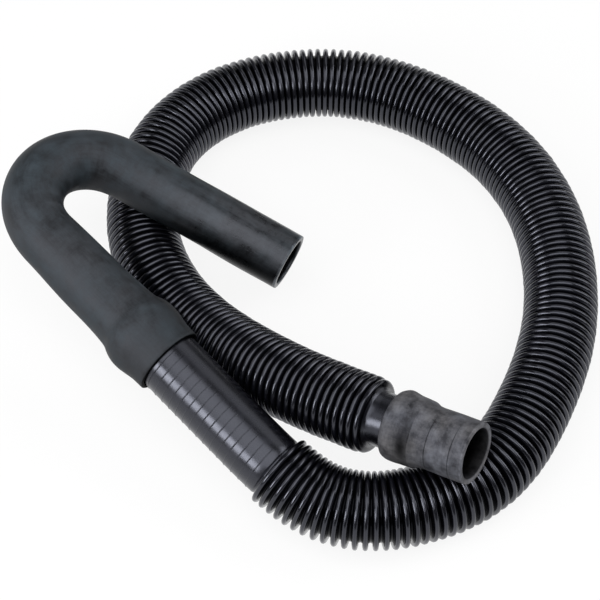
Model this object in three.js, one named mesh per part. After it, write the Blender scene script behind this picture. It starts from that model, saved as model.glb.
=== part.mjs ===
// Washing machine drain hose, lying in one loose loop.
//
// Three separate pieces make it up:
//   corrugated_hose  one blow-moulded hose, ridged all along, with a plain cuff at each end
//   outlet_hook      a moulded rubber hook that hangs over the rim of a standpipe or a tub
//   pump_connector   a short rubber boot that pushes onto the pump's outlet
//
// Units are millimetres, Z is up, and the floor is Z = 0.
// Each piece is a closed wall profile turned round a straight axis and then bent along its route.

import * as THREE from 'three';

const degrees = Math.PI / 180;

// Fit between pieces that are pushed over each other.
const fitGap = 0.3;

// Corrugated hose.
const ridgeDiameter = 36;
const ridgeDepth = 3.8;
const ridgePitch = 3.68;
const lastRidgeDiameter = 34.6;
const hoseBore = 25.4;
const hoseSides = 10;
const boreStep = 26;

// The ridges are drawn out near the hook and pushed together on the far side of the loop.
// Each pair is how far along the ridges it is, from 0 to 1, and the pitch there against ridgePitch.
const ridgeSpread = [[0, 1.11], [0.25, 1.04], [0.5, 0.97], [0.78, 0.89], [1, 1.0]];

// Plain cuff that the hook is pushed over.
const hookCuffDiameter = 30;
const hookCuffLength = 70.5;
const hookOverlap = 28;

// Plain cuff that the connector is pushed over.
const pumpCuffDiameter = 25.2;
const pumpCuffLength = 9;
const pumpCuffBore = 21.6;
const pumpOverlap = 14;

// Outlet hook.
const collarMouthDiameter = 34.8;
const collarFlareDiameter = 35.8;
const collarFlareEnd = 8.5;
const collarHumpDiameter = 38;
const collarHumpStart = 14;
const collarHumpEnd = 20;
const shoulderLength = 13;
const shoulderMiddleDiameter = 33.2;
const hookLegDiameter = 31.2;
const hookLegLength = 83;
const hookLegBore = 25.6;
const hookTubeDiameter = 28.5;
const hookTubeBore = 23.6;
const hookTaperLength = 58;
const hookBendRadius = 30.5;
const hookBendAngle = 149 * degrees;
const hookEaseRadius = 45;
const hookEaseAngle = 12 * degrees;
const hookSpoutLength = 90.3;
const hookSides = 16;
const hookBendStep = 5.5;

// The spout rests on the far side of the loop, this far back from its mouth.
// It slopes, so its centre line passes higher there than two level tubes would need.
const spoutCrossing = 85.8;
const spoutSlopeRoom = 1.1;

// The spout is cut off a little out of square: its face leans back by this angle,
// towards the side that is this far round from its top.
const spoutCutAngle = 5.2 * degrees;
const spoutCutSide = 34 * degrees;

// Pump connector.
const bootLength = 41.5;
const bootCollarDiameter = 31.6;
const bootHumpDiameter = 32.6;
const bootHumpAt = 5;
const bootStepLength = 3;
const bootNoseDiameter = 28.9;
const bootNoseBore = 23.6;
const bootEdge = 0.8;
const bootSides = 20;

// The hose's centre line, from inside the hook's collar round the loop to inside the connector.
// Each point is X, Y and its height above the centre line of a hose that lies on the floor.
const hosePoints = [
  [-80.9, -48, 30], [-63.7, -64.8, 24], [-46.5, -81.6, 18], [-29.3, -98.4, 12], [-12.1, -115.2, 6],
  [7.5, -129.5, -0.5], [31.5, -135, 0.3], [56, -129.5, 0], [78, -119, 0], [94.5, -101, 0],
  [106.5, -78.5, 0], [116, -56, 0], [123, -32, 0], [126, -7, 0], [125.5, 18, 0],
  [121.5, 42, 0], [113, 65, 0], [100, 86, 0], [82.5, 103.5, 0], [62, 118.5, 0],
  [39.5, 129, 0], [15.5, 134, 0], [-9.5, 132, 0], [-33.5, 125, 0], [-54.5, 111.5, 0],
  [-70, 92.5, 0], [-78.5, 69, 0], [-81.5, 44, 0], [-78.5, 19.5, 0], [-69.5, -4, 0.2],
  [-55.5, -24.5, -0.2], [-38.5, -43, 3.5], [-21.5, -60, 10], [-3.5, -75.5, 16], [16.5, -89, 21],
  [34.5, -100, 25], [52.5, -111, 29],
];

// A smooth curve drawn by a row of points: a uniform cubic B-spline.
// It starts at the first point and ends at the last one, straight along the row at both ends.
class HoseRoute extends THREE.Curve {
  constructor(points) {
    super();
    const mirrored = (end, next) => end.clone().multiplyScalar(2).sub(next);
    const last = points.length - 1;
    this.spans = last;
    this.row = [
      mirrored(points[0], points[1]),
      ...points,
      mirrored(points[last], points[last - 1]),
    ];
    this.arcLengthDivisions = 40 * this.spans;
  }

  getPoint(t, target = new THREE.Vector3()) {
    const place = t * this.spans;
    const span = Math.min(Math.floor(place), this.spans - 1);
    const u = place - span;
    const weights = [
      (1 - u) ** 3,
      3 * u ** 3 - 6 * u ** 2 + 4,
      -3 * u ** 3 + 3 * u ** 2 + 3 * u + 1,
      u ** 3,
    ];
    target.set(0, 0, 0);
    weights.forEach((weight, i) => target.addScaledVector(this.row[span + i], weight / 6));
    return target;
  }
}

// The hook's centre line: leg, tight bend, easier bend and spout, all in one tilted plane.
// origin is the middle of the collar's mouth, along points into the leg.
// The plane is rolled about the leg until the spout crosses the loop at crossingHeight.
class HookRoute extends THREE.Curve {
  constructor(origin, along, crossingHeight) {
    super();
    this.origin = origin;
    this.along = along;

    const easeAngle = hookBendAngle + hookEaseAngle;
    const bendX = hookLegLength + hookBendRadius * Math.sin(hookBendAngle);
    const bendY = hookBendRadius * (1 - Math.cos(hookBendAngle));
    const easeCentreX = bendX - hookEaseRadius * Math.sin(hookBendAngle);
    const easeCentreY = bendY + hookEaseRadius * Math.cos(hookBendAngle);
    const spoutX = easeCentreX + hookEaseRadius * Math.sin(easeAngle);
    const spoutY = easeCentreY - hookEaseRadius * Math.cos(easeAngle);
    this.plan = new THREE.Path();
    this.plan.moveTo(0, 0);
    this.plan.lineTo(hookLegLength, 0);
    this.plan.absarc(
      hookLegLength, hookBendRadius, hookBendRadius,
      -Math.PI / 2, hookBendAngle - Math.PI / 2, false,
    );
    this.plan.absarc(
      easeCentreX, easeCentreY, hookEaseRadius,
      hookBendAngle - Math.PI / 2, easeAngle - Math.PI / 2, false,
    );
    this.plan.lineTo(
      spoutX + hookSpoutLength * Math.cos(easeAngle),
      spoutY + hookSpoutLength * Math.sin(easeAngle),
    );
    this.arcLengthDivisions = 1200;

    const crossingLength = hookSpoutLength - spoutCrossing;
    const crossingX = spoutX + crossingLength * Math.cos(easeAngle);
    const crossingY = spoutY + crossingLength * Math.sin(easeAngle);
    const level = new THREE.Vector3().crossVectors(along, new THREE.Vector3(0, 0, 1)).normalize();
    const upright = new THREE.Vector3().crossVectors(level, along);
    const drop = origin.z + along.z * crossingX - crossingHeight;
    const roll = Math.asin(drop / (crossingY * upright.z));
    this.across = level.applyAxisAngle(along, roll);
  }

  getPoint(t, target = new THREE.Vector3()) {
    const flat = this.plan.getPointAt(t);
    return target.copy(this.origin)
      .addScaledVector(this.along, flat.x)
      .addScaledVector(this.across, flat.y);
  }
}

// Turns a closed wall profile round a straight axis and bends the result along a route.
// A profile point is [distance along the route, radius].
// trim(x, z) says how far back a point of the far end's face is cut, x and z being its place
// across the pipe.
function pipeAlong(route, profile, sides, trim = () => 0) {
  const outline = profile.map(([distance, radius]) => new THREE.Vector2(radius, distance));
  const farEnd = Math.max(...profile.map(([distance]) => distance));
  outline.push(outline[0].clone());
  const geometry = new THREE.LatheGeometry(outline, sides);
  const length = route.getLength();
  const frames = new Map();
  const frameAt = (distance) => {
    if (!frames.has(distance)) {
      const part = THREE.MathUtils.clamp(distance / length, 0, 1);
      const tangent = route.getTangentAt(part);
      const up = new THREE.Vector3(0, 0, 1).addScaledVector(tangent, -tangent.z).normalize();
      const side = new THREE.Vector3().crossVectors(tangent, up);
      frames.set(distance, { centre: route.getPointAt(part), tangent, up, side });
    }
    return frames.get(distance);
  };
  const position = geometry.attributes.position;
  const vertex = new THREE.Vector3();
  for (let i = 0; i < position.count; i += 1) {
    vertex.fromBufferAttribute(position, i);
    const { centre, tangent, up, side } = frameAt(vertex.y);
    const bent = centre.clone().addScaledVector(side, vertex.x).addScaledVector(up, vertex.z);
    const onFarFace = farEnd - vertex.y < fitGap;
    if (onFarFace) bent.addScaledVector(tangent, -trim(vertex.x, vertex.z));
    position.setXYZ(i, bent.x, bent.y, bent.z);
  }
  geometry.computeVertexNormals();
  return geometry;
}

// Even steps from one distance to another, both ends included, none longer than step.
function evenSteps(from, to, step) {
  const count = Math.max(1, Math.ceil((to - from) / step));
  return Array.from({ length: count + 1 }, (_, i) => from + ((to - from) * i) / count);
}

// Straight-line value between pairs of [place, value].
function between(pairs, place) {
  const next = pairs.findIndex(([at]) => at >= place);
  if (next === 0) return pairs[0][1];
  if (next < 0) return pairs[pairs.length - 1][1];
  const [fromAt, from] = pairs[next - 1];
  const [toAt, to] = pairs[next];
  return THREE.MathUtils.mapLinear(place, fromAt, toAt, from, to);
}

// Outer profile of the ridges: groove, crest, groove, crest ... groove.
// The last ridge is pinched a little where the wall runs down into the cuff.
function ridgeProfile(start, end) {
  const crest = ridgeDiameter / 2;
  const groove = crest - ridgeDepth;
  const count = Math.round((end - start) / ridgePitch);
  const widths = Array.from({ length: count }, (_, i) => between(ridgeSpread, (i + 0.5) / count));
  const scale = (end - start) / widths.reduce((sum, width) => sum + width, 0);
  const profile = [[start, groove]];
  let at = start;
  widths.forEach((width, i) => {
    const radius = i === count - 1 ? lastRidgeDiameter / 2 : crest;
    profile.push([at + (width * scale) / 2, radius]);
    at += width * scale;
    profile.push([at, groove]);
  });
  return profile;
}

// Radius of a many-sided socket whose flats clear a round cuff by the fit gap.
function socketRadius(cuffDiameter, sides) {
  return (cuffDiameter / 2 + fitGap) / Math.cos(Math.PI / sides);
}

function corrugatedHose(route) {
  const length = route.getLength();
  const ridgesStart = hookOverlap + hookCuffLength;
  const ridgesEnd = length - pumpOverlap - pumpCuffLength;
  const hookCuff = hookCuffDiameter / 2;
  const pumpCuff = pumpCuffDiameter / 2;
  const outer = [
    [0, hookCuff],
    [ridgesStart - 0.5 * ridgePitch, hookCuff],
    ...ridgeProfile(ridgesStart, ridgesEnd),
    [ridgesEnd + 0.5 * ridgePitch, pumpCuff],
    [length, pumpCuff],
  ];
  const boreEnd = ridgesEnd - ridgePitch;
  const inner = [
    [length, pumpCuffBore / 2],
    [ridgesEnd, pumpCuffBore / 2],
    ...evenSteps(0, boreEnd, boreStep).reverse().map((at) => [at, hoseBore / 2]),
  ];
  return pipeAlong(route, [...outer, ...inner], hoseSides);
}

function outletHook(route) {
  const length = route.getLength();
  const shoulderEnd = collarHumpEnd + shoulderLength;
  const bendEnd = length - hookSpoutLength;
  const taperEnd = shoulderEnd + hookTaperLength;
  const outerRadius = [
    [0, collarMouthDiameter / 2],
    [collarFlareEnd, collarFlareDiameter / 2],
    [collarHumpStart, collarHumpDiameter / 2],
    [collarHumpEnd, collarHumpDiameter / 2],
    [collarHumpEnd + 0.5 * shoulderLength, shoulderMiddleDiameter / 2],
    [shoulderEnd, hookLegDiameter / 2],
    [taperEnd, hookTubeDiameter / 2],
    [length, hookTubeDiameter / 2],
  ];
  const boreRadius = [
    [shoulderEnd, hookLegBore / 2],
    [taperEnd, hookTubeBore / 2],
    [length, hookTubeBore / 2],
  ];
  const bendSteps = evenSteps(hookLegLength, bendEnd, hookBendStep);
  const socket = socketRadius(hookCuffDiameter, hookSides);
  const socketDepth = hookOverlap + fitGap;
  const outer = [
    ...outerRadius.filter(([at]) => at < hookLegLength),
    ...bendSteps.map((at) => [at, between(outerRadius, at)]),
    [length, hookTubeDiameter / 2],
  ];
  const inner = [
    [length, hookTubeBore / 2],
    ...bendSteps.reverse().map((at) => [at, between(boreRadius, at)]),
    [socketDepth, hookLegBore / 2],
    [socketDepth, socket],
    [0, socket],
  ];
  const cutBack = (x, z) => Math.tan(spoutCutAngle)
    * (hookTubeDiameter / 2 + x * Math.sin(spoutCutSide) + z * Math.cos(spoutCutSide));
  return pipeAlong(route, [...outer, ...inner], hookSides, cutBack);
}

function pumpConnector(route) {
  const collar = bootCollarDiameter / 2;
  const nose = bootNoseDiameter / 2;
  const bore = bootNoseBore / 2;
  const socket = socketRadius(pumpCuffDiameter, bootSides);
  const socketDepth = pumpOverlap + fitGap;
  const stepStart = pumpOverlap + bootEdge;
  const profile = [
    [0, collar - bootEdge],
    [bootEdge, collar],
    [bootHumpAt, bootHumpDiameter / 2],
    [2 * bootHumpAt, collar],
    [stepStart, collar],
    [stepStart + bootStepLength, nose],
    [bootLength - bootEdge, nose],
    [bootLength, nose - 0.5 * bootEdge],
    [bootLength, bore],
    [socketDepth, bore],
    [socketDepth, socket],
    [0, socket],
  ];
  return pipeAlong(route, profile, bootSides);
}

const floorLine = ridgeDiameter / 2;
const hoseRoute = new HoseRoute(
  hosePoints.map(([x, y, rise]) => new THREE.Vector3(x, y, floorLine + rise)),
);
const hoseLength = hoseRoute.getLength();
const spoutOverHose = (ridgeDiameter + hookTubeDiameter) / 2 + spoutSlopeRoom;
const hookRoute = new HookRoute(
  hoseRoute.getPointAt(hookOverlap / hoseLength),
  hoseRoute.getTangentAt(0).negate(),
  floorLine + spoutOverHose,
);
const pumpEnd = hoseRoute.getPointAt(1);
const pumpWay = hoseRoute.getTangentAt(1);
const bootStart = pumpEnd.clone().addScaledVector(pumpWay, -pumpOverlap);
const bootRoute = new THREE.LineCurve3(
  bootStart,
  bootStart.clone().addScaledVector(pumpWay, bootLength),
);

const hosePlastic = new THREE.MeshStandardMaterial({
  color: 0x1d1d1f, roughness: 0.32, metalness: 0,
});
const hookRubber = new THREE.MeshStandardMaterial({
  color: 0x34383b, roughness: 0.72, metalness: 0,
});
const bootRubber = new THREE.MeshStandardMaterial({
  color: 0x47474a, roughness: 0.78, metalness: 0,
});

function piece(name, geometry, material) {
  const mesh = new THREE.Mesh(geometry, material);
  mesh.name = name;
  return mesh;
}

const drainHose = new THREE.Group();
drainHose.add(
  piece('corrugated_hose', corrugatedHose(hoseRoute), hosePlastic),
  piece('outlet_hook', outletHook(hookRoute), hookRubber),
  piece('pump_connector', pumpConnector(bootRoute), bootRubber),
);

export default drainHose;
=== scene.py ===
"""Washing machine drain hose lying in one loose loop on a white studio floor.

The object is three pieces: a black ridged hose with a plain cuff at each end, a moulded rubber hook
on one cuff and a short rubber connector on the other. Every surface is a pipe: a wall profile of
distances and radii, carried round and along a centre line. Lengths are in metres; MM turns
millimetres into metres.
"""

import logging
from dataclasses import dataclass
from enum import Enum

import bpy
import numpy as np
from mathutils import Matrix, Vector


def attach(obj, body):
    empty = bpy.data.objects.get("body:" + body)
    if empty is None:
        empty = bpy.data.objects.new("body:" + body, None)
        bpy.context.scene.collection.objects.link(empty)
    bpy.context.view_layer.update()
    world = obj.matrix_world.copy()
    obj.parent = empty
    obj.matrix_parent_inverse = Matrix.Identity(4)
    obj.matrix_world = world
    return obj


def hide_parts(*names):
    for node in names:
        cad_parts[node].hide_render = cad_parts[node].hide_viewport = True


log = logging.getLogger("drain_hose")

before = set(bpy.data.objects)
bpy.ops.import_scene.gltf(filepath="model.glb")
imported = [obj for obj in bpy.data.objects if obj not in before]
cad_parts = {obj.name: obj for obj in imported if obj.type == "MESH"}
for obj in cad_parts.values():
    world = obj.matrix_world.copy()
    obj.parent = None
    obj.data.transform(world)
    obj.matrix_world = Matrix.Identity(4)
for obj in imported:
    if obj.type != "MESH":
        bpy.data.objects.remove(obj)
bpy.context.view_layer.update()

MM = 0.001

# Half the ridges' diameter: the centre line's height where the hose lies on the floor.
FLOOR_LINE = 18 * MM

# The hose's centre line, from inside the hook's collar to inside the connector.
# Each point is X, Y and its height above the centre line of a hose that lies on the floor.
HOSE_POINTS = (
    (-0.0809, -0.0480, 0.0300), (-0.0637, -0.0648, 0.0240), (-0.0465, -0.0816, 0.0180),
    (-0.0293, -0.0984, 0.0120), (-0.0121, -0.1152, 0.0060), (0.0075, -0.1295, -0.0005),
    (0.0315, -0.1350, 0.0003), (0.0560, -0.1295, 0.0), (0.0780, -0.1190, 0.0),
    (0.0945, -0.1010, 0.0), (0.1065, -0.0785, 0.0), (0.1160, -0.0560, 0.0),
    (0.1230, -0.0320, 0.0), (0.1260, -0.0070, 0.0), (0.1255, 0.0180, 0.0),
    (0.1215, 0.0420, 0.0), (0.1130, 0.0650, 0.0), (0.1000, 0.0860, 0.0),
    (0.0825, 0.1035, 0.0), (0.0620, 0.1185, 0.0), (0.0395, 0.1290, 0.0),
    (0.0155, 0.1340, 0.0), (-0.0095, 0.1320, 0.0), (-0.0335, 0.1250, 0.0),
    (-0.0545, 0.1115, 0.0), (-0.0700, 0.0925, 0.0), (-0.0785, 0.0690, 0.0),
    (-0.0815, 0.0440, 0.0), (-0.0785, 0.0195, 0.0), (-0.0695, -0.0040, 0.0002),
    (-0.0555, -0.0245, -0.0002), (-0.0385, -0.0430, 0.0035), (-0.0215, -0.0600, 0.0100),
    (-0.0035, -0.0755, 0.0160), (0.0165, -0.0890, 0.0210), (0.0345, -0.1000, 0.0250),
    (0.0525, -0.1110, 0.0290),
)


def linear(hex_colour: str) -> tuple[float, float, float, float]:
    """Turn an sRGB hex colour into a linear RGBA one.

    Args:
        hex_colour: six hex digits, such as "1d1d1f".

    Returns:
        Red, green, blue and alpha, each from 0 to 1.
    """
    srgb = np.array([int(hex_colour[i:i + 2], 16) for i in (0, 2, 4)]) / 255
    low, high = srgb / 12.92, ((srgb + 0.055) / 1.055) ** 2.4
    red, green, blue = np.where(srgb <= 0.04045, low, high)
    return float(red), float(green), float(blue), 1.0


def smooth_through(pairs: tuple[tuple[float, float], ...], at: np.ndarray) -> np.ndarray:
    """Smooth values through a few pairs of place and value.

    Between two pairs the value is a cubic whose slope at each pair is the mean slope of its
    neighbours: v = h00 a + h10 w sa + h01 b + h11 w sb, with w the width of the stretch.

    Args:
        pairs: places in rising order, each with its value.
        at: the places to work the value out for.

    Returns:
        One value for each place.
    """
    x, y = np.array(pairs, float).T
    slope = np.gradient(y, x)
    left = np.clip(np.searchsorted(x, at, side="right") - 1, 0, len(x) - 2)
    width = x[left + 1] - x[left]
    t = np.clip((at - x[left]) / width, 0, 1)
    return (
        (2 * t ** 3 - 3 * t ** 2 + 1) * y[left]
        + (t ** 3 - 2 * t ** 2 + t) * width * slope[left]
        + (3 * t ** 2 - 2 * t ** 3) * y[left + 1]
        + (t ** 3 - t ** 2) * width * slope[left + 1]
    )


@dataclass(frozen=True)
class Route:
    """A centre line: closely spaced points with the distance, direction and bend at each."""

    centre: np.ndarray
    distance: np.ndarray
    tangent: np.ndarray
    bend: np.ndarray

    @classmethod
    def along(cls, centre: np.ndarray) -> "Route":
        """Measure a row of points.

        Args:
            centre: the points, one row each.

        Returns:
            The route: distance is the running sum of the steps, tangent the unit derivative of
            the points by distance, and bend the derivative of the tangent.
        """
        steps = np.linalg.norm(np.diff(centre, axis=0), axis=1)
        distance = np.concatenate([[0.0], np.cumsum(steps)])
        tangent = np.gradient(centre, distance, axis=0)
        tangent /= np.linalg.norm(tangent, axis=1, keepdims=True)
        return cls(centre, distance, tangent, np.gradient(tangent, distance, axis=0))

    @property
    def length(self) -> float:
        """The whole length, in metres."""
        return float(self.distance[-1])

    def _read(self, rows: np.ndarray, at: np.ndarray) -> np.ndarray:
        """Linear interpolation of a row of vectors at any array of distances."""
        return np.stack([np.interp(at, self.distance, rows[:, i]) for i in range(3)], axis=-1)

    def spokes(self, at: np.ndarray, angle: np.ndarray) -> np.ndarray:
        """Unit vectors that stand square on the centre line.

        up is Z made square to the tangent, side is tangent x up, and a spoke is
        side sin(angle) + up cos(angle).

        Args:
            at: distances along the route.
            angle: angles from up, of a shape that goes with at.

        Returns:
            One unit vector for each distance and angle.
        """
        tangent = self._read(self.tangent, at)
        tangent /= np.linalg.norm(tangent, axis=-1, keepdims=True)
        up = np.array([0.0, 0.0, 1.0]) - tangent * tangent[..., 2:]
        up /= np.linalg.norm(up, axis=-1, keepdims=True)
        side = np.cross(tangent, up)
        return side * np.sin(angle)[..., None] + up * np.cos(angle)[..., None]

    def stretch(self, at: np.ndarray, angle: np.ndarray, radius: float) -> np.ndarray:
        """How much longer the wall is than the centre line, 1 - radius (bend . spoke)."""
        lean = (self._read(self.bend, at) * self.spokes(at, angle)).sum(axis=-1)
        return 1 - radius * lean

    def wall(self, at: np.ndarray, angle: np.ndarray, radius: np.ndarray) -> np.ndarray:
        """Points of a pipe's wall: centre(distance) + radius spoke(distance, angle)."""
        return self._read(self.centre, at) + radius[..., None] * self.spokes(at, angle)


def spline_route(points: tuple[tuple[float, float, float], ...]) -> Route:
    """The uniform cubic B-spline that a row of points draws.

    The row gets a mirrored point at each end, so that the curve starts at the first point and
    ends at the last. With u from 0 to 1 in a span, the four weights are (1-u)^3, 3u^3-6u^2+4,
    -3u^3+3u^2+3u+1 and u^3, all over 6.

    Args:
        points: X, Y and rise above FLOOR_LINE.

    Returns:
        The route.
    """
    steps_in_a_span = 60
    row = np.array(points) + (0, 0, FLOOR_LINE)
    row = np.vstack([2 * row[0] - row[1], row, 2 * row[-1] - row[-2]])
    spans = len(points) - 1
    place = np.linspace(0, spans, spans * steps_in_a_span + 1)
    span = np.minimum(place.astype(int), spans - 1)
    u = (place - span)[:, None]
    weights = (
        (1 - u) ** 3, 3 * u ** 3 - 6 * u ** 2 + 4, -3 * u ** 3 + 3 * u ** 2 + 3 * u + 1, u ** 3,
    )
    return Route.along(sum(w * row[span + i] for i, w in enumerate(weights)) / 6)


def pipe_mesh(
    name: str, points: np.ndarray, angle: np.ndarray, along: np.ndarray, radius: np.ndarray,
    shade: np.ndarray, polish: np.ndarray,
) -> bpy.types.Object:
    """Make a closed pipe from a grid of wall points.

    Row i and column j are joined to the next row and column, and both ways close on themselves.
    The attribute "pipe" holds (radius cos angle, radius sin angle, along), the place of each
    vertex on the pipe before it was bent, which gives patterns that follow the wall. The UV map
    "wall" is (angle / 2 pi, along).

    Args:
        name: the piece's name.
        points: the grid, rows by columns by 3.
        angle: each column's angle round the pipe.
        along: each vertex's distance along the route, rows by columns.
        radius: each vertex's distance from the centre line, rows by columns.
        shade: what each vertex's colour is multiplied by, rows by columns.
        polish: what each vertex's roughness is multiplied by, rows by columns.

    Returns:
        The new object, smooth shaded, with the attributes "pipe", "shade" and "polish" and the UV
        map "wall".
    """
    rows, columns = points.shape[:2]
    i, j = np.meshgrid(np.arange(rows), np.arange(columns), indexing="ij")
    next_i, next_j = (i + 1) % rows, (j + 1) % columns
    corners = np.stack([
        i * columns + j, next_i * columns + j, next_i * columns + next_j, i * columns + next_j,
    ], axis=-1).reshape(-1, 4)
    flat = points.reshape(-1, 3)
    a, b, c = flat[corners[:, 0]], flat[corners[:, 1]], flat[corners[:, 2]]
    inside_out = (np.cross(b - a, c - a) * a).sum() < 0
    if inside_out:
        corners = corners[:, ::-1]

    mesh = bpy.data.meshes.new(name)
    mesh.vertices.add(len(flat))
    mesh.vertices.foreach_set("co", flat.ravel())
    mesh.loops.add(corners.size)
    mesh.loops.foreach_set("vertex_index", corners.ravel())
    mesh.polygons.add(len(corners))
    mesh.polygons.foreach_set("loop_start", np.arange(len(corners)) * 4)
    mesh.update(calc_edges=True)
    mesh.shade_smooth()
    straight = np.stack([radius * np.cos(angle), radius * np.sin(angle), along], axis=-1)
    for attribute, kind, field, values in (
        ("pipe", "FLOAT_VECTOR", "vector", straight),
        ("shade", "FLOAT", "value", shade),
        ("polish", "FLOAT", "value", polish),
    ):
        mesh.attributes.new(attribute, kind, "POINT").data.foreach_set(field, values.ravel())

    # On the faces that close the pipe, the first column counts as one past the last.
    uv = mesh.uv_layers.new(name="wall")
    turns = np.append(angle / (2 * np.pi), 1.0)
    column = corners % columns
    closing = column.max(axis=1, keepdims=True) == columns - 1
    column = np.where((column == 0) & closing, columns, column)
    pairs = np.stack([turns[column], along.reshape(-1)[corners]], axis=-1)
    uv.data.foreach_set("uv", pairs.ravel())
    mesh.validate()
    piece = bpy.data.objects.new(name, mesh)
    bpy.context.scene.collection.objects.link(piece)
    return piece


class Wave(Enum):
    """Which way a surface's slow waves run: waves round it, and thirds of a wave along it."""

    LUMPS = (3, 2)
    RIPPLES = (1, 5)


def slow_waves(
    at: np.ndarray, angle: np.ndarray, wave: Wave, height: float, length: float,
) -> np.ndarray:
    """Slight unevenness of a moulded wall.

    The mean of two products of sines, sin(m angle + a) sin(2 pi s / length + b) and
    sin((m + 1) angle + c) sin(2 pi n s / (3 length) + d), times the height. m and n come from the
    kind of wave, and the phases a, b, c and d only set the lumps apart.

    Args:
        at: distances along the route.
        angle: angles round it.
        wave: the kind of wave.
        height: the largest rise, in metres.
        length: the length of one wave along the route, in metres.

    Returns:
        The rise of each point of the wall.
    """
    turns, runs = wave.value
    first = np.sin(turns * angle + 0.7) * np.sin(2 * np.pi * at / length + 0.4)
    second = np.sin((turns + 1) * angle + 2.1) * np.sin(2 * np.pi * runs * at / (3 * length) + 1.9)
    return 0.5 * height * (first + second)


def add_node(
    tree: bpy.types.NodeTree, kind: str, settings: dict[str | int, object] | None = None,
) -> bpy.types.Node:
    """Add a node with its settings and links.

    Args:
        tree: the node tree.
        kind: the node's type, such as "ShaderNodeTexNoise".
        settings: a value for each attribute, by name, and for each input, by name or number. An
            output socket as the value is linked to the input.

    Returns:
        The node.
    """
    node = tree.nodes.new(kind)
    for key, value in (settings or {}).items():
        if isinstance(key, str) and hasattr(node, key):
            setattr(node, key, value)
        elif isinstance(value, bpy.types.NodeSocket):
            tree.links.new(value, node.inputs[key])
        else:
            node.inputs[key].default_value = value
    return node


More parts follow.
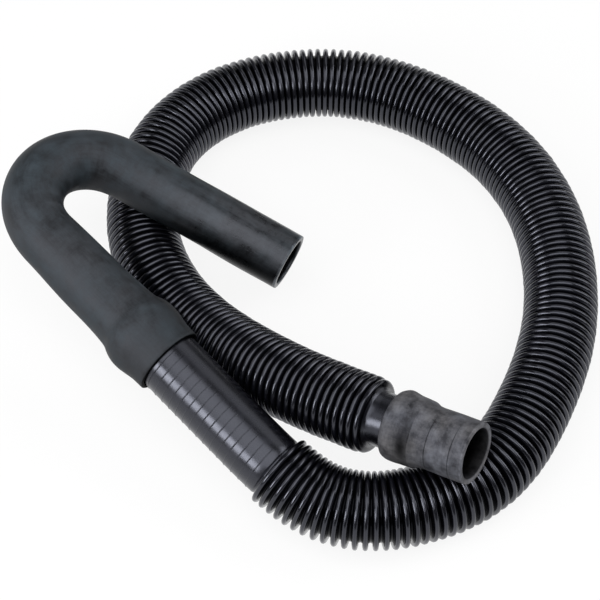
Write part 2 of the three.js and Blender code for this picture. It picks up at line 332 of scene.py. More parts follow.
@dataclass(frozen=True)
class Moulded:
    """A moulded surface: cloudy colour, rub marks both ways, uneven gloss and a fine grain.

    Every pattern is a noise on the attribute "pipe", so it follows the wall. The attribute "shade"
    multiplies the colour, and where it is below 1 it fades the reflections too: it holds painted
    shade, in grooves, in bores and on undersides, besides other darker and lighter marks. The
    attribute "polish" multiplies the roughness. Sizes are in metres.

    dark and light are the colours of the clouds, and cool and warm the tints of wider patches.
    gleam tints the reflections. contrast is half the range of noise that turns dark to light.
    dull and shiny are the roughness of the lightest and darkest places. cloud is a cloud's size.
    rub and hatch are how much the marks along and round the pipe add to the clouds, rub_width and
    hatch_width the width of a mark. grain is the size of the surface grain, and relief its depth.
    """

    name: str
    dark: str
    light: str
    cool: str
    warm: str
    gleam: str
    contrast: float
    dull: float
    shiny: float
    cloud: float
    rub: float
    rub_width: float
    hatch: float
    hatch_width: float
    grain: float
    relief: float
    ior: float

    # How a mark is drawn out: a rub mark along the pipe and a hatch mark round it.
    rub_scale = (1.0, 1.0, 0.07)
    hatch_scale = (0.1, 0.1, 1.0)

    # The patches are this many clouds wide, and turn from cool to warm over this range of noise.
    patch_clouds = 3
    patch_range = (0.38, 0.62)

    # Octaves of the clouds and of every other noise, and how strong the clouds' small ones are.
    cloud_detail = 6.0
    cloud_roughness = 0.66
    detail = 3.0

    # The shader's own middle value of Specular IOR Level, at which the IOR alone counts.
    full_reflection = 0.5

    def marks(
        self, tree: bpy.types.NodeTree, place: bpy.types.NodeSocket,
    ) -> bpy.types.NodeSocket:
        """Add up clouds + rub x rub marks + hatch x hatch marks.

        Args:
            tree: the material's node tree.
            place: the pipe's own coordinates.

        Returns:
            The sum.
        """
        clouds = add_node(tree, "ShaderNodeTexNoise", {
            "Scale": 1 / self.cloud, "Detail": self.cloud_detail,
            "Roughness": self.cloud_roughness, "Vector": place,
        })
        total = clouds.outputs["Fac"]
        for amount, width, scale in (
            (self.rub, self.rub_width, self.rub_scale),
            (self.hatch, self.hatch_width, self.hatch_scale),
        ):
            drawn_out = add_node(tree, "ShaderNodeMapping", {"Scale": scale, "Vector": place})
            streaks = add_node(tree, "ShaderNodeTexNoise", {
                "Scale": 1 / width, "Detail": self.detail, "Vector": drawn_out.outputs["Vector"],
            })
            added = add_node(tree, "ShaderNodeMath", {
                "operation": "MULTIPLY_ADD", 0: streaks.outputs["Fac"], 1: amount, 2: total,
            })
            total = added.outputs[0]
        return total

    def material(self) -> bpy.types.Material:
        """Build the material from noise on the pipe's own coordinates.

        Returns:
            The material: colour = clouds x patches x shade, and roughness = gloss x polish.
        """
        material = bpy.data.materials.new(self.name)
        material.use_nodes = True
        tree = material.node_tree
        tree.nodes.clear()
        place = add_node(tree, "ShaderNodeAttribute", {"attribute_name": "pipe"}).outputs["Vector"]
        shade = add_node(tree, "ShaderNodeAttribute", {"attribute_name": "shade"}).outputs["Fac"]
        polish = add_node(tree, "ShaderNodeAttribute", {"attribute_name": "polish"}).outputs["Fac"]

        marks = self.marks(tree, place)
        middle = 0.5 * (1 + self.rub + self.hatch)
        low, high = middle - self.contrast, middle + self.contrast
        patches = add_node(tree, "ShaderNodeTexNoise", {
            "Scale": 1 / (self.patch_clouds * self.cloud), "Detail": self.detail, "Vector": place,
        })

        # The clouds' colour and the patches' tint, each from one colour to another.
        layers = []
        for value, (least, most), colours in (
            (marks, (low, high), (self.dark, self.light)),
            (patches.outputs["Fac"], self.patch_range, (self.cool, self.warm)),
        ):
            share = add_node(tree, "ShaderNodeMapRange", {
                "From Min": least, "From Max": most, "Value": value,
            })
            ramp = add_node(tree, "ShaderNodeValToRGB", {"Fac": share.outputs["Result"]})
            for element, colour in zip(ramp.color_ramp.elements, colours):
                element.color = linear(colour)
            layers.append(ramp.outputs["Color"])
        tinted = add_node(tree, "ShaderNodeVectorMath", {
            "operation": "MULTIPLY", 0: layers[0], 1: layers[1],
        })
        shaded = add_node(tree, "ShaderNodeVectorMath", {
            "operation": "SCALE", "Vector": tinted.outputs["Vector"], "Scale": shade,
        })

        gloss = add_node(tree, "ShaderNodeMapRange", {
            "From Min": low, "From Max": high, "To Min": self.shiny, "To Max": self.dull,
            "Value": marks,
        })
        roughness = add_node(tree, "ShaderNodeMath", {
            "operation": "MULTIPLY", 0: gloss.outputs["Result"], 1: polish,
        })
        grain = add_node(tree, "ShaderNodeTexNoise", {
            "Scale": 1 / self.grain, "Detail": self.detail, "Vector": place,
        })
        relief = add_node(tree, "ShaderNodeBump", {
            "Strength": 1.0, "Distance": self.relief, "Height": grain.outputs["Fac"],
        })
        # Painted shade: the reflections fade with the shade, as the specular level falls with it.
        reflection = add_node(tree, "ShaderNodeMapRange", {
            "To Max": self.full_reflection, "Value": shade,
        })
        shader = add_node(tree, "ShaderNodeBsdfPrincipled", {
            "Base Color": shaded.outputs["Vector"],
            "Roughness": roughness.outputs[0],
            "IOR": self.ior,
            "Specular IOR Level": reflection.outputs["Result"],
            "Specular Tint": linear(self.gleam),
            "Normal": relief.outputs["Normal"],
        })
        add_node(tree, "ShaderNodeOutputMaterial", {"Surface": shader.outputs["BSDF"]})
        return material


# A mould's real grain and rub marks are finer than the camera can tell apart, so in all three
# finishes they are drawn as coarse as they need to show.

# Blow-moulded polypropylene: near black all through, with the gloss of a polished mould.
HOSE_PLASTIC = Moulded(
    name="blow_moulded_polypropylene", dark="030304", light="0f0f13", cool="e8ecff", warm="fffaff",
    gleam="e9edff", contrast=0.2, dull=0.29, shiny=0.21, cloud=7 * MM, rub=0.14, rub_width=0.9 * MM,
    hatch=0.06, hatch_width=0.6 * MM, grain=0.9 * MM, relief=0.004 * MM, ior=1.64,
)

# Compression-moulded rubber: blue-black with a satin skin, and a pale bloom in soft clouds.
HOOK_RUBBER = Moulded(
    name="moulded_rubber_hook", dark="0f1112", light="363c40", cool="e6f3f9", warm="fff4f4",
    gleam="eef2ff", contrast=0.18, dull=0.76, shiny=0.48, cloud=9 * MM, rub=0.25,
    rub_width=1.0 * MM, hatch=0.14, hatch_width=0.6 * MM, grain=0.6 * MM, relief=0.06 * MM,
    ior=1.52,
)

# The connector's softer rubber is greyer and duller, and its bloom lies in small blotches.
CONNECTOR_RUBBER = Moulded(
    name="moulded_rubber_connector", dark="181819", light="646568", cool="f4f6ff", warm="fffaf6",
    gleam="eceeff", contrast=0.16, dull=0.74, shiny=0.5, cloud=7 * MM, rub=0.08, rub_width=1.2 * MM,
    hatch=0.1, hatch_width=0.8 * MM, grain=0.5 * MM, relief=0.07 * MM, ior=1.50,
)


def dress(piece: bpy.types.Object, finish: Moulded) -> None:
    """Give a piece its material, in its one slot."""
    piece.data.materials.clear()
    piece.data.materials.append(finish.material())


@dataclass
class CorrugatedHose:
    """The ridged hose with its two plain cuffs."""

    route: Route
    ridge_diameter: float = 36 * MM
    ridge_depth: float = 3.8 * MM
    ridge_pitch: float = 3.68 * MM
    last_ridge_diameter: float = 34.6 * MM
    crest_width: float = 2.9 * MM
    crest_share: float = 0.47
    ring_shift: float = 0.025 * MM
    ring_tilt: float = 0.07 * MM
    ring_swell: float = 0.05 * MM
    ring_seed: int = 7
    bore: float = 25.4 * MM
    bore_step: float = 9 * MM
    hook_cuff_diameter: float = 30.4 * MM
    hook_cuff_length: float = 70.5 * MM
    hook_overlap: float = 28 * MM
    cuff_edge: float = 0.4 * MM
    cuff_fillet: float = 0.3 * MM
    cuff_line_pitch: float = 4.55 * MM
    cuff_line_height: float = 0.14 * MM
    cuff_line_width: float = 0.5 * MM
    cuff_line_margin: float = 0.12 * MM
    pump_cuff_diameter: float = 25.2 * MM
    pump_cuff_length: float = 9 * MM
    pump_cuff_bore: float = 21.6 * MM
    pump_overlap: float = 14 * MM
    # Painted shade in the grooves, and the roughness factors of the ridges and the cuffs.
    groove_shade: float = 0.15
    depth_shade: float = 1.1
    ridge_polish: float = 0.75
    cuff_polish: float = 1.1
    sides: int = 48

    # How the pitch changes along the ridges, from 0 at the hook to 1 at the connector.
    spread = (
        (0.0, 1.0), (0.18, 1.06), (0.31, 0.985), (0.42, 0.965), (0.51, 1.01), (0.64, 1.03),
        (0.71, 1.04), (0.78, 0.95), (0.9, 1.0), (1.0, 0.97),
    )

    # A ridge's section: place across the crest from -1 to 1, and height above the groove.
    section = (
        (-1.0, 0.1), (-0.94, 0.54), (-0.74, 0.84), (-0.3, 0.985), (0.3, 0.985),
        (0.74, 0.84), (0.94, 0.54), (1.0, 0.1),
    )

    # How high the cuff's lines stand round the cuff: degrees from the top, and share of the height.
    line_share = ((0, 0.0), (20, 1.0), (60, 1.0), (110, 1.8), (150, 1.8), (200, 0.0))

    def __post_init__(self) -> None:
        """Work out where the ridges start and end."""
        self.ridges_start = self.hook_overlap + self.hook_cuff_length
        self.ridges_end = self.route.length - self.pump_overlap - self.pump_cuff_length
        self.angle = np.arange(self.sides) * 2 * np.pi / self.sides

    def grooves(self) -> np.ndarray:
        """Place the grooves' bottoms, with the widths between them following the spread.

        Returns:
            The distance of each, one more than there are ridges.
        """
        room = self.ridges_end - self.ridges_start
        count = round(room / self.ridge_pitch)
        places, shares = np.array(self.spread).T
        widths = np.interp((np.arange(count) + 0.5) / count, places, shares)
        return self.ridges_start + room * np.concatenate([[0], np.cumsum(widths)]) / widths.sum()

    def ridge_rows(self) -> tuple[np.ndarray, np.ndarray]:
        """The ridges as rows of distances and radii.

        A crest keeps its width where the hose bends and the groove takes the difference: the
        distance is middle + lean half / stretch, with half the smaller of half the crest's width
        and crest_share of the pitch at that angle. The radius is groove + height (depth + swell).
        No two rings are quite alike: shift, tilt and swell are normal draws, as wide as
        ring_shift, ring_tilt and ring_swell, and the distance gets shift + tilt cos(angle - a).

        Returns:
            Distances and radii, rows by sides.
        """
        grooves = self.grooves()
        middle, pitch = (grooves[1:] + grooves[:-1]) / 2, np.diff(grooves)
        count = len(middle)
        random = np.random.default_rng(self.ring_seed)
        shift = random.normal(0, self.ring_shift, count)
        tilt = random.normal(0, self.ring_tilt, count)
        tilt_angle = random.uniform(0, 2 * np.pi, count)
        swell = random.normal(0, self.ring_swell, count)
        swell[-1] = (self.last_ridge_diameter - self.ridge_diameter) / 2

        at = np.repeat(middle[:, None], self.sides, axis=1)
        angle = np.broadcast_to(self.angle, at.shape)
        stretch = self.route.stretch(at, angle, self.ridge_diameter / 2)
        half = np.minimum(self.crest_width / 2, self.crest_share * pitch[:, None] * stretch)
        lean, height = np.array(self.section).T
        offset = shift[:, None] + tilt[:, None] * np.cos(angle - tilt_angle[:, None])
        crest_at = at[:, None] + lean[:, None] * (half / stretch)[:, None] + offset[:, None]
        floor_radius = self.ridge_diameter / 2 - self.ridge_depth
        crest_radius = floor_radius + height[:, None] * (self.ridge_depth + swell[:, None, None])

        groove_at = np.repeat(grooves[:-1, None, None], self.sides, axis=2)
        distances = np.concatenate([groove_at, crest_at], axis=1).reshape(-1, self.sides)
        radii = np.concatenate([
            np.full_like(groove_at, floor_radius),
            np.broadcast_to(crest_radius, crest_at.shape),
        ], axis=1).reshape(-1, self.sides)
        last = np.ones((1, self.sides))
        distances = np.concatenate([distances, grooves[-1] * last])
        return distances, np.concatenate([radii, floor_radius * last])

    def cuff_rows(self) -> tuple[np.ndarray, np.ndarray]:
        """The hook cuff's profile: a plain pipe with fine raised lines part of the way round.

        The first line lies just outside the hook's collar. A line's height is cuff_line_height on
        one side, grows to 1.8 times that on its underside and is nothing on the other side.

        Returns:
            The profile's rows of distance and radius, and each row's share of a line's height.
        """
        radius = self.hook_cuff_diameter / 2
        first = self.hook_overlap + 0.45 * self.cuff_line_pitch
        last = self.ridges_start - 0.5 * self.cuff_line_pitch
        half, rise = self.cuff_line_width / 2, self.cuff_line_height
        foot, flat = half + self.cuff_line_margin, 0.35 * half
        line = ((-foot, 0.0), (-half, 0.0), (-flat, rise), (flat, rise), (half, 0.0), (foot, 0.0))

        profile = [
            (0.0, radius - self.cuff_edge, 0.0), (self.cuff_edge, radius, 0.0),
            (0.5 * self.hook_overlap, radius, 0.0),
        ]
        for at in np.arange(first, last, self.cuff_line_pitch):
            profile += [(at + step, radius, out) for step, out in line]

        # The shoulder that turns down to the first groove.
        profile += [
            (self.ridges_start - 1.2 * MM, radius, 0.0),
            (self.ridges_start - 0.7 * MM, radius - 0.2 * MM, 0.0),
        ]
        profile = np.array(profile)
        degrees, shares = np.array(self.line_share).T
        share = np.interp(self.angle, np.radians(degrees), shares)
        return profile[:, :2], profile[:, 2:] * share

    def end_rows(self) -> np.ndarray:
        """The connector cuff's outside, its mouth and the bore all the way back.

        Returns:
            The profile's rows of distance and radius.
        """
        radius, bore = self.pump_cuff_diameter / 2, self.pump_cuff_bore / 2
        length, start = self.route.length, self.ridges_end
        edge, fillet = self.cuff_edge, self.cuff_fillet
        cuff = [
            (start + fillet, radius + fillet), (start + 1.0 * MM, radius),
            (start + 4.0 * MM, radius), (start + self.pump_cuff_length, radius),
            (length - edge, radius), (length, radius - edge),
            (length, bore + fillet), (length - fillet, bore), (start, bore),
        ]
        back = np.arange(start - self.ridge_pitch, self.ridge_pitch, -self.bore_step)
        return np.array(cuff + [(at, self.bore / 2) for at in (*back, 0.0)])

    def build(self) -> bpy.types.Object:
        """Make the hose as one closed pipe and dress it.

        On the ridges the shade is painted shade in the grooves, groove_shade + depth_shade x depth,
        from groove_shade to 1, which darkens the colour and the reflections towards each groove.

        Returns:
            The hose.
        """
        ridge_at, ridge_radius = self.ridge_rows()
        cuff, rises = self.cuff_rows()
        end = np.repeat(self.end_rows()[..., None], self.sides, axis=2)
        cuff_at = np.repeat(cuff[:, :1], self.sides, axis=1)
        at = np.concatenate([cuff_at, ridge_at, end[:, 0]])
        radius = np.concatenate([cuff[:, 1:] + rises, ridge_radius, end[:, 1]])
        points = self.route.wall(at, np.broadcast_to(self.angle, at.shape), radius)

        # Painted shade: darker towards the bottom of each groove.
        ridged = (at > self.ridges_start) & (at < self.ridges_end)
        depth = (radius - (self.ridge_diameter / 2 - self.ridge_depth)) / self.ridge_depth
        groove = np.clip(self.groove_shade + self.depth_shade * depth, self.groove_shade, 1)
        shade = np.where(ridged, groove, 1.0)
        polish = np.where(ridged, self.ridge_polish, self.cuff_polish)
        piece = pipe_mesh("corrugated_hose_skin", points, self.angle, at, radius, shade, polish)
        dress(piece, HOSE_PLASTIC)
        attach(piece, "root")
        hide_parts("corrugated_hose")
        return piece


@dataclass
class OutletHook:
    """The moulded rubber hook, pushed over the hose's long cuff."""

    hose: CorrugatedHose
    fit_gap: float = 0.3 * MM
    leg_length: float = 83 * MM
    bend_radius: float = 30.5 * MM
    bend_angle: float = np.radians(149)
    ease_radius: float = 45 * MM
    ease_angle: float = np.radians(12)
    spout_length: float = 90.3 * MM
    tube_diameter: float = 28.5 * MM
    tube_bore: float = 23.6 * MM
    leg_bore: float = 25.6 * MM
    spout_crossing: float = 85.8 * MM
    spout_slope_room: float = 1.1 * MM
    spout_cut_angle: float = np.radians(5.2)
    spout_cut_side: float = np.radians(34)
    spout_cut_room: float = 8 * MM
    lip: float = 0.5 * MM
    lump_height: float = 0.22 * MM
    lump_length: float = 46 * MM
    collar_fade: float = 20 * MM
    mouth_fade: float = 12 * MM
    sides: int = 96

    # Shades. The underside is darkest, with painted shade, and the collar and the spout are a
    # little darker than the leg. Painted shade also darkens the spout's near side, in a bell round
    # an angle from up. The bore has painted shade all through, and the mouth's outer rim is
    # lighter.
    under_shade: float = 0.45
    collar_fall: float = 0.18
    collar_reach: float = 32 * MM
    spout_fall: float = 0.03
    spout_reach: float = 45 * MM
    spout_gloss: float = 0.5
    painted_dark_angle: float = np.radians(86)
    painted_dark_width: float = np.radians(27)
    painted_dark_share: float = 0.8
    inner_shade: float = 0.06
    rim_shade: float = 3.5

    # Where the bore narrows from leg_bore to tube_bore, measured from the socket's shoulder.
    taper = (5 * MM, 60 * MM)

    # How many points the route has, and how many rows the outside and the bore.
    route_points = 1600
    outside_rows = 210
    bore_rows = 90

    # Outer radius along the hook, in millimetres: the collar's mouth, hump and shoulder, the leg
    # and the bend.
    outer = (
        (0.0, 17.4), (7.0, 17.7), (11.0, 18.4), (14.5, 18.95), (20.0, 18.9), (23.5, 18.0),
        (26.5, 16.8), (30.0, 16.3), (34.0, 16.0), (60.0, 15.35), (88.0, 14.65), (105.0, 14.7),
        (150.0, 14.6), (175.0, 14.4), (261.0, 14.4),
    )

    def centre_line(self) -> Route:
        """The hook's route: leg, tight bend, easier bend and spout, in one tilted plane.

        In the plane, a point of the route is the integral of (cos a, sin a) over distance, where
        the turn a is 0 on the leg, grows by distance / radius in each bend and stays on the
        spout. The plane is rolled about the leg until the spout crosses the loop just above it.

        Returns:
            The route, from the collar's mouth to the spout's.
        """
        inside = np.array([self.hose.hook_overlap])
        origin = self.hose.route.wall(inside, np.zeros(1), np.zeros(1))[0]
        leg = -self.hose.route.tangent[0]
        bend_length = self.bend_radius * self.bend_angle
        ease_length = self.ease_radius * self.ease_angle
        whole_turn = self.bend_angle + self.ease_angle
        ends = np.cumsum([0, self.leg_length, bend_length, ease_length, self.spout_length])
        distance = np.linspace(0, ends[-1], self.route_points)
        turn = np.interp(distance, ends, [0, 0, self.bend_angle, whole_turn, whole_turn])
        middle = (turn[1:] + turn[:-1]) / 2
        step = np.diff(distance)
        x = np.concatenate([[0], np.cumsum(step * np.cos(middle))])
        y = np.concatenate([[0], np.cumsum(step * np.sin(middle))])

        crossing = ends[-1] - self.spout_crossing
        cross_x, cross_y = np.interp(crossing, distance, x), np.interp(crossing, distance, y)
        level = np.cross(leg, (0, 0, 1))
        level /= np.linalg.norm(level)
        upright = np.cross(level, leg)
        height = 2 * FLOOR_LINE + self.tube_diameter / 2 + self.spout_slope_room
        roll = np.arcsin((origin[2] + leg[2] * cross_x - height) / (cross_y * upright[2]))
        across = level * np.cos(roll) - upright * np.sin(roll)
        return Route.along(origin + x[:, None] * leg + y[:, None] * across)

    def profile(self, length: float) -> tuple[np.ndarray, int]:
        """The wall's section: outside, spout's lip, bore, shoulder, socket and collar's lip.

        Args:
            length: the route's length.

        Returns:
            Rows of distance and radius, and how many of them are the outside.
        """
        pairs = tuple(zip(*np.array(self.outer).T * MM))
        collar, mouth = (float(r) for r in smooth_through(pairs, np.array([0.0, length])))
        socket = self.hose.hook_cuff_diameter / 2 + self.fit_gap
        depth = self.hose.hook_overlap + self.fit_gap
        bore, lip = self.tube_bore / 2, self.lip
        at_out = np.linspace(lip, length - lip, self.outside_rows)
        end = [
            (length - 0.25 * lip, mouth - 0.25 * lip), (length, mouth - lip),
            (length, bore + lip), (length - 0.25 * lip, bore + 0.25 * lip), (length - lip, bore),
        ]
        at_back = np.linspace(length - 3 * lip, depth + 1 * MM, self.bore_rows)
        back = np.interp(at_back - depth, self.taper, [self.leg_bore / 2, bore])
        front = [
            (depth, self.leg_bore / 2), (depth, socket), (0.5 * depth, socket), (lip, socket),
            (0.0, socket + 0.5 * lip), (0.0, collar - 2 * lip), (0.3 * lip, collar - lip),
        ]
        rows = np.vstack([
            np.stack([at_out, smooth_through(pairs, at_out)], axis=1), end,
            np.stack([at_back, back], axis=1), front,
        ])
        return rows, len(at_out)

    def shading(
        self, at: np.ndarray, angle: np.ndarray, radius: np.ndarray, outside: int, length: float,
    ) -> tuple[np.ndarray, np.ndarray]:
        """The shade and the polish of each point of the wall.

        The shade is u + (1 - u) clip(0.5 + 0.75 cos(angle), 0, 1), with u the under_shade: painted
        shade that darkens the underside. It is then less towards the collar and the spout, and less
        by the bell exp(-(turn / width)^2), painted shade on the spout's near side. The bore gets
        painted shade all through.

        Args:
            at: distances along the hook, rows by sides.
            angle: angles round it.
            radius: distances from the centre line.
            outside: how many rows are the outside.
            length: the route's length.

        Returns:
            The shade and the polish.
        """
        # Painted shade: the underside darker than the top, and a dark bell on the spout's near
        # side.
        top = np.clip(0.5 + 0.75 * np.cos(angle), 0, 1)
        collar = np.clip(1 - at / self.collar_reach, 0, 1)
        spout = np.clip((at - length + self.spout_length) / self.spout_reach, 0, 1)
        painted_dark_bell = np.exp(-((angle - self.painted_dark_angle) / self.painted_dark_width) ** 2)
        shade = self.under_shade + (1 - self.under_shade) * top
        shade *= 1 - self.collar_fall * collar - self.spout_fall * spout
        shade *= 1 - self.painted_dark_share * spout * painted_dark_bell
        # Painted shade inside the bore.
        shade[outside:] = self.inner_shade
        at_rim = length - at < 1.2 * self.lip
        shade[at_rim] = 1.0
        shade[at_rim & (radius > self.tube_bore / 2 + 1.5 * self.lip)] = self.rim_shade
        return shade, 1 - self.spout_gloss * spout

    def build(self) -> bpy.types.Object:
        """Make the hook as one closed pipe, with a rounded lip at each mouth, and dress it.

        The spout's mouth is cut aslant: each point moves back by share tan(cut angle) lean, where
        share grows from 0 to 1 over the last spout_cut_room and lean is the distance from the
        mouth's furthest side.

        Returns:
            The hook.
        """
        route = self.centre_line()
        length = route.length
        angle = np.arange(self.sides) * 2 * np.pi / self.sides
        profile, outside = self.profile(length)
        at = np.repeat(profile[:, :1], self.sides, axis=1)
        angles = np.broadcast_to(angle, at.shape)
        radius = np.repeat(profile[:, 1:], self.sides, axis=1)

        # The lumps fade out towards the spout's mouth, and less so towards the collar's.
        out_at, out_angles = at[:outside], angles[:outside]
        fade = np.clip(out_at / self.collar_fade, 0.3, 1)
        fade *= np.clip((length - out_at) / self.mouth_fade, 0, 1)
        radius[:outside] += fade * slow_waves(
            out_at, out_angles, Wave.LUMPS, self.lump_height, self.lump_length,
        )
        shade, polish = self.shading(at, angles, radius, outside, length)

        share = np.clip(1 - (length - at) / self.spout_cut_room, 0, 1)
        lean = self.tube_diameter / 2 + radius * np.cos(angles - self.spout_cut_side)
        at = at - share * np.tan(self.spout_cut_angle) * lean
        points = route.wall(at, angles, radius)
        piece = pipe_mesh("outlet_hook_skin", points, angle, at, radius, shade, polish)
        dress(piece, HOOK_RUBBER)
        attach(piece, "root")
        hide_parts("outlet_hook")
        return piece


@dataclass
class PumpConnector:
    """The short rubber boot on the hose's other cuff."""

    hose: CorrugatedHose
    fit_gap: float = 0.3 * MM
    length: float = 41.5 * MM
    bore: float = 23.6 * MM
    lip: float = 0.6 * MM
    ripple_height: float = 0.16 * MM
    ripple_length: float = 17 * MM
    sides: int = 96

    # Outer radius along the boot, in millimetres: rear edge, hump, collar, step and nose.
    outer = (
        (0.0, 15.2), (1.2, 15.75), (5.0, 16.3), (9.0, 16.0), (13.2, 15.75), (15.6, 15.5),
        (17.6, 14.7), (19.5, 14.4), (24.0, 14.4), (33.0, 14.45), (41.5, 14.4),
    )

    # How many points the route has, and how many even rows the outside.
    route_points = 40
    outside_rows = 120

    # Fine parting lines round the nose, in millimetres from the rear.
    lines = (23.0, 34.9)
    line_half: float = 0.3 * MM
    line_edge: float = 0.2 * MM
    line_depth: float = 0.16 * MM
    # Painted shade in the lines' grooves.
    line_dark: float = 0.6

    # The step between the collar and the nose, and how far before it the wall starts to rise.
    step_place: float = 14.8 * MM
    step_run: float = 9 * MM
    step_fall: float = 0.3 * MM
    step_height: float = 0.3 * MM
    step_dark: float = 0.35

    # A raised knuckle on the rear edge and a darker patch just behind the step: the place of each,
    # and how far it reaches along and round.
    knuckle_place: float = 3.6 * MM
    knuckle_angle: float = np.radians(-52)
    knuckle_length: float = 2.6 * MM
    knuckle_turn: float = np.radians(17)
    knuckle_height: float = 0.7 * MM
    dark_patch_place: float = 12.0 * MM
    dark_patch_angle: float = np.radians(70)
    dark_patch_length: float = 3.4 * MM
    dark_patch_turn: float = np.radians(30)
    dark_patch_strength: float = 0.9

    # Shades of the underside, of the rim, and of the bore near its mouth and further in. The
    # underside and the bore are darkened with painted shade, the bore most further in.
    under_shade: float = 0.5
    top_angle: float = np.radians(20)
    rim_shade: float = 1.5
    bore_reach = (1.0 * MM, 7.0 * MM)
    bore_shade = (0.25, 0.02)

    def marks(self, at: np.ndarray, angle: np.ndarray) -> tuple[np.ndarray, np.ndarray]:
        """Marks on the outside: lines, a step and a knuckle from the mould, a darker patch, and
        painted shade.

        A line is a flat-bottomed groove, darkened with painted shade, and the step a linear fall
        over step_fall, and both fade out by the share clip((sin angle + 0.2) / 0.6, 0, 1). The
        knuckle and the darker patch are bells exp(-(distance / length)^2 - (turn / turn width)^2).
        The colour is also multiplied by u + (1 - u) clip(0.5 + 0.9 cos(angle - top angle), 0, 1),
        with u the
        under_shade: painted shade that darkens the underside.

        Args:
            at: distances from the rear.
            angle: angles from up.

        Returns:
            The rise of each point, and what its colour is multiplied by.
        """
        share = np.clip((np.sin(angle) + 0.2) / 0.6, 0, 1)
        nearest = np.abs(at[..., None] - np.array(self.lines) * MM).min(axis=-1)
        groove = np.clip((self.line_half - nearest) / self.line_edge, 0, 1) * share
        edge = self.step_place
        step = np.interp(at, [edge - self.step_run, edge, edge + self.step_fall], [0, 1, 0]) * share
        turn = (angle - self.knuckle_angle + np.pi) % (2 * np.pi) - np.pi
        knuckle = np.exp(
            -((at - self.knuckle_place) / self.knuckle_length) ** 2
            - (turn / self.knuckle_turn) ** 2
        )
        dark_patch = np.exp(
            -((at - self.dark_patch_place) / self.dark_patch_length) ** 2
            - ((angle - self.dark_patch_angle) / self.dark_patch_turn) ** 2
        )
        # Painted shade: the underside darker than the top.
        top = np.clip(0.5 + 0.9 * np.cos(angle - self.top_angle), 0, 1)
        rise = self.step_height * step - self.line_depth * groove + self.knuckle_height * knuckle
        # Painted shade darkens the lines' grooves; the colour also darkens towards the step's edge.
        shade = (1 - self.line_dark * groove) * (1 - self.step_dark * step)
        shade *= 1 - self.dark_patch_strength * dark_patch
        return rise, shade * (self.under_shade + (1 - self.under_shade) * top)

    def profile(self) -> tuple[np.ndarray, int, int]:
        """The wall's section: outside, nose's lip, bore, shoulder, socket and rear edge.

        Returns:
            Rows of distance and radius, how many are the outside, and which starts the bore.
        """
        pairs = tuple(zip(*np.array(self.outer).T * MM))
        rear, nose = pairs[0][1], pairs[-1][1]
        socket = self.hose.pump_cuff_diameter / 2 + self.fit_gap
        depth = self.hose.pump_overlap + self.fit_gap
        bore, lip, length = self.bore / 2, self.lip, self.length
        half, flat = self.line_half, self.line_half - self.line_edge
        line_rows = [line * MM + step for line in self.lines for step in (-half, -flat, flat, half)]
        step_rows = [self.step_place, self.step_place + self.step_fall]
        plain_rows = np.linspace(lip, length - lip, self.outside_rows)
        at_out = np.sort(np.concatenate([plain_rows, line_rows, step_rows]))
        front = [
            (length - 0.3 * lip, nose - 0.3 * lip), (length, nose - lip), (length, bore + lip),
            (length - 0.3 * lip, bore + 0.3 * lip), (length - lip, bore),
        ]
        inside = [(length - from_rim * MM, bore) for from_rim in (3, 6, 9, 14)]
        rows = np.vstack([
            np.stack([at_out, smooth_through(pairs, at_out)], axis=1), front, inside,
            [(depth, bore), (depth, socket), (lip, socket), (0.0, socket + 0.5 * lip)],
            [(0.0, rear - 1.5 * lip), (0.3 * lip, rear - 0.6 * lip)],
        ])
        return rows, len(at_out), len(at_out) + len(front) - 1

    def build(self) -> bpy.types.Object:
        """Make the boot as one closed pipe and dress it.

        Returns:
            The boot.
        """
        end, way = self.hose.route.centre[-1], self.hose.route.tangent[-1]
        start = end - self.hose.pump_overlap * way
        reach = np.linspace(0, self.length, self.route_points)[:, None]
        route = Route.along(start + reach * way)
        angle = np.arange(self.sides) * 2 * np.pi / self.sides
        profile, outside, inner = self.profile()
        at = np.repeat(profile[:, :1], self.sides, axis=1)
        angles = np.broadcast_to(angle, at.shape)
        radius = np.repeat(profile[:, 1:], self.sides, axis=1)

        out_at, out_angles = at[:outside], angles[:outside]
        rise, mark_shade = self.marks(out_at, out_angles)
        radius[:outside] += rise + slow_waves(
            out_at, out_angles, Wave.RIPPLES, self.ripple_height, self.ripple_length,
        )
        shade = np.ones_like(at)
        # The marks' shade, with painted shade on the underside and in the lines' grooves.
        shade[:outside] = mark_shade
        to_rim = self.length - at
        # Painted shade inside the bore, darker further in.
        shade[inner:] = np.interp(to_rim[inner:], self.bore_reach, self.bore_shade)
        outer_rim = radius > self.bore / 2 + 0.5 * self.lip
        shade[(to_rim < 1.2 * self.lip) & outer_rim] = self.rim_shade
        points = route.wall(at, angles, radius)
        polish = np.ones_like(at)
        piece = pipe_mesh("pump_connector_skin", points, angle, at, radius, shade, polish)
        dress(piece, CONNECTOR_RUBBER)
        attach(piece, "root")
        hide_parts("pump_connector")
        return piece


@dataclass(frozen=True)
class Lamp:
    """A soft rectangular lamp.

    way is the direction from the object to it, size its width and height in metres, and power its
    power in watts.
    """

    name: str
    way: tuple[float, float, float]
    size: tuple[float, float]
    power: float


# A large lamp in front and above gives the broad light, and a smaller one low at the left, one at
# each side and one behind give the highlights.
LAMPS = (
    Lamp("front_lamp", (-0.06, -0.42, 0.91), (1.7, 1.8), 21.0),
    Lamp("low_lamp", (-0.74, -0.57, 0.40), (0.8, 0.6), 13.5),
    Lamp("left_lamp", (-0.80, 0.10, 0.60), (0.9, 0.7), 3.2),
    Lamp("right_lamp", (0.80, 0.12, 0.50), (0.9, 1.2), 10.2),
    Lamp("back_lamp", (0.35, 0.62, 0.70), (1.6, 1.0), 3.5),
)


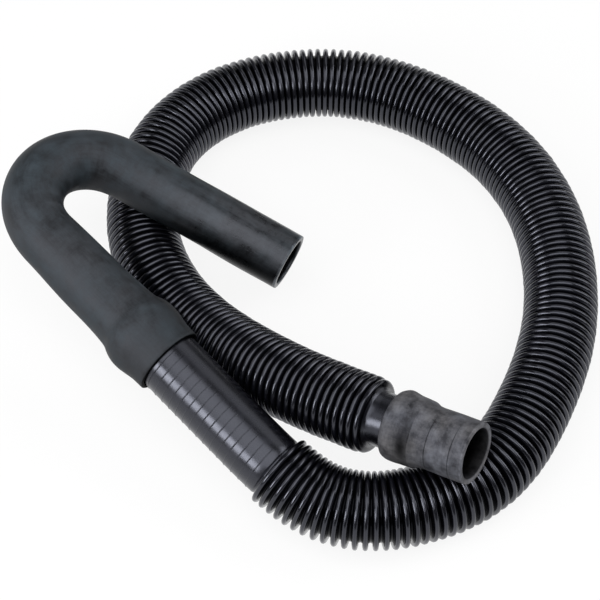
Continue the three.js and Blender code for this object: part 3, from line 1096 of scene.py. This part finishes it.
@dataclass
class Studio:
    """A white floor, five soft lamps, a dim surround and the photograph's camera."""

    camera_place: tuple[float, float, float] = (-0.0015, -0.61603, 0.78984)
    camera_elevation: float = np.radians(52)
    picture_pixels: float = 600.0
    focal_pixels: float = 2018.83
    sensor: float = 36.0
    lamp_distance: float = 1.6
    aim: tuple[float, float, float] = (0.0, 0.0, 0.03)
    floor_size: float = 8.0
    floor_seen: str = "f6f6f6"
    floor_lighting: str = "b4b4b4"
    floor_glow: float = 0.86
    surround_level: float = 0.12

    def hang(self, lamp: Lamp) -> None:
        """Hang a lamp, turned to the object.

        Args:
            lamp: its name, direction, size and power.
        """
        light = bpy.data.lights.new(lamp.name, "AREA")
        light.shape = "RECTANGLE"
        light.size, light.size_y = lamp.size
        light.energy = lamp.power
        fitting = bpy.data.objects.new(lamp.name, light)
        towards = Vector(lamp.way).normalized()
        fitting.location = Vector(self.aim) + self.lamp_distance * towards
        fitting.rotation_euler = towards.to_track_quat("Z", "Y").to_euler()
        bpy.context.scene.collection.objects.link(fitting)

    def seen(self, tree: bpy.types.NodeTree) -> bpy.types.NodeSocket:
        """Tell the rays that show a surface from those that light others.

        Args:
            tree: the material's node tree.

        Returns:
            1 for a ray that shows the surface, straight, in a reflection or through glass, and
            0 for one that lights another surface.
        """
        rays = add_node(tree, "ShaderNodeLightPath").outputs
        straight = add_node(tree, "ShaderNodeMath", {
            "operation": "MAXIMUM", 0: rays["Is Camera Ray"], 1: rays["Is Transmission Ray"],
        })
        either = add_node(tree, "ShaderNodeMath", {
            "operation": "MAXIMUM", 0: straight.outputs[0], 1: rays["Is Glossy Ray"],
        })
        return either.outputs[0]

    def floor(self) -> None:
        """Lay the white floor, which is seen as paper white with the object's soft shadow.

        Its look is a mix of white paper and a plain white glow. To the rays that light the object
        it is a mid grey without glow, so that it throws no extra light.
        """
        half = self.floor_size / 2
        corners = [(-half, -half, 0), (half, -half, 0), (half, half, 0), (-half, half, 0)]
        mesh = bpy.data.meshes.new("studio_floor")
        mesh.from_pydata(corners, [], [(0, 1, 2, 3)])
        floor = bpy.data.objects.new("studio_floor", mesh)
        bpy.context.scene.collection.objects.link(floor)
        material = bpy.data.materials.new("white_paper")
        material.use_nodes = True
        tree = material.node_tree
        tree.nodes.clear()
        seen = self.seen(tree)
        white = add_node(tree, "ShaderNodeValToRGB", {"Fac": seen})
        white.color_ramp.elements[0].color = linear(self.floor_lighting)
        white.color_ramp.elements[1].color = linear(self.floor_seen)
        paper = add_node(tree, "ShaderNodeBsdfDiffuse", {"Color": white.outputs["Color"]})
        glow = add_node(tree, "ShaderNodeEmission", {"Color": linear("ffffff"), "Strength": 1.0})
        share = add_node(tree, "ShaderNodeMath", {
            "operation": "MULTIPLY", 0: seen, 1: self.floor_glow,
        })
        mix = add_node(tree, "ShaderNodeMixShader", {
            "Fac": share.outputs[0], 1: paper.outputs[0], 2: glow.outputs[0],
        })
        add_node(tree, "ShaderNodeOutputMaterial", {"Surface": mix.outputs[0]})
        mesh.materials.append(material)

    def surround(self) -> None:
        """Light the scene with a dim even surround, which the camera sees as white."""
        world = bpy.data.worlds.new("surround")
        bpy.context.scene.world = world
        world.use_nodes = True
        tree = world.node_tree
        tree.nodes.clear()
        rays = add_node(tree, "ShaderNodeLightPath")
        level = add_node(tree, "ShaderNodeMapRange", {
            "To Min": self.surround_level, "To Max": 1.0, "Value": rays.outputs["Is Camera Ray"],
        })
        light = add_node(tree, "ShaderNodeBackground", {
            "Color": linear("ffffff"), "Strength": level.outputs["Result"],
        })
        add_node(tree, "ShaderNodeOutputWorld", {"Surface": light.outputs[0]})

    def camera(self) -> None:
        """Set the camera at the photograph's place, angle and lens."""
        data = bpy.data.cameras.new("camera")
        data.sensor_width = self.sensor
        data.lens = self.focal_pixels / self.picture_pixels * self.sensor
        data.clip_start, data.clip_end = 0.05, 50.0
        camera = bpy.data.objects.new("camera", data)
        camera.location = self.camera_place
        camera.rotation_euler = (np.pi / 2 - self.camera_elevation, 0.0, 0.0)
        bpy.context.scene.collection.objects.link(camera)
        bpy.context.scene.camera = camera

    def build(self) -> None:
        """Set up the whole studio."""
        self.camera()
        self.floor()
        self.surround()
        for lamp in LAMPS:
            self.hang(lamp)
        bpy.context.scene.view_settings.view_transform = "Standard"


def main() -> None:
    """Build the studio and the three pieces, and report each."""
    logging.basicConfig(level=logging.INFO, format="%(message)s")
    Studio().build()
    hose = CorrugatedHose(spline_route(HOSE_POINTS))
    hose_piece = hose.build()
    hook_piece = OutletHook(hose).build()
    connector_piece = PumpConnector(hose).build()
    for piece in (hose_piece, hook_piece, connector_piece):
        log.info("%s: %d faces", piece.name, len(piece.data.polygons))


if __name__ == "__main__":
    main()
